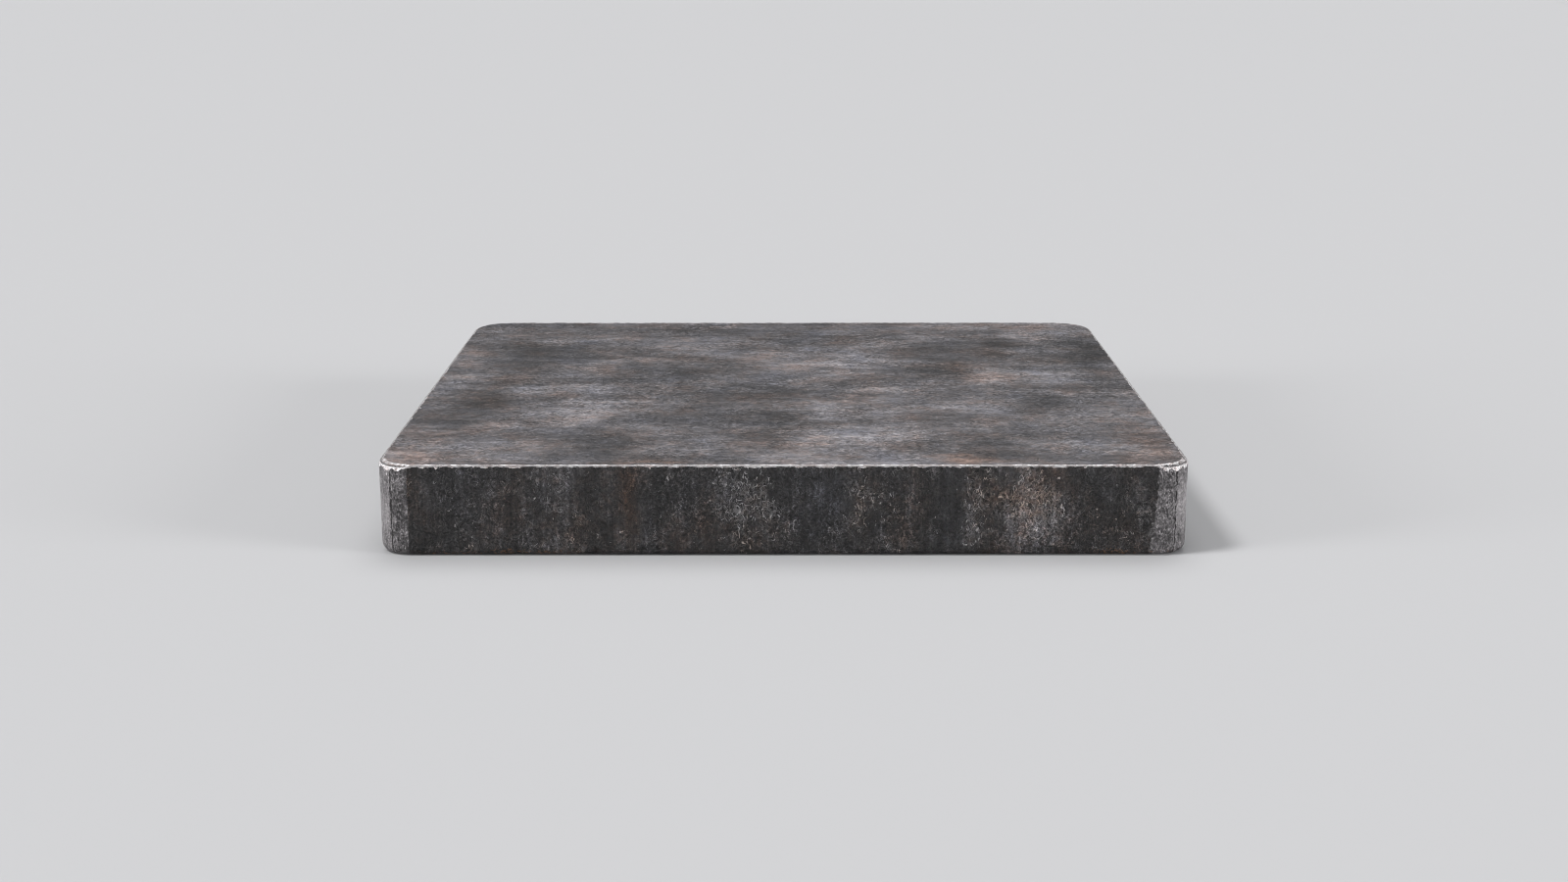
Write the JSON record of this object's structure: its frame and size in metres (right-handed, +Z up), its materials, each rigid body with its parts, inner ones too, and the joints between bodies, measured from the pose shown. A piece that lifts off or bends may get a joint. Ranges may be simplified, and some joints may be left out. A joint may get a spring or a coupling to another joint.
{
  "type": "steel slab",
  "caption": "Thick square steel slab with rounded upright corners, worn top edges and mill scale, lying flat as raw stock for rolling, forging or cutting.",
  "frame": {"origin": "centre of the slab's underside, on the floor it lies on", "axes": "+Z up through the slab's thickness; the front face, with the tighter pair of upright corners, looks along -Y; +X is to the right when the front face is seen from in front"},
  "size_m": [2, 2, 0.23],
  "materials": {
    "scaled_steel": "matte"
  },
  "bodies": {
    "root": {"steel_slab": "scaled_steel"}
  },
  "joints": []
}
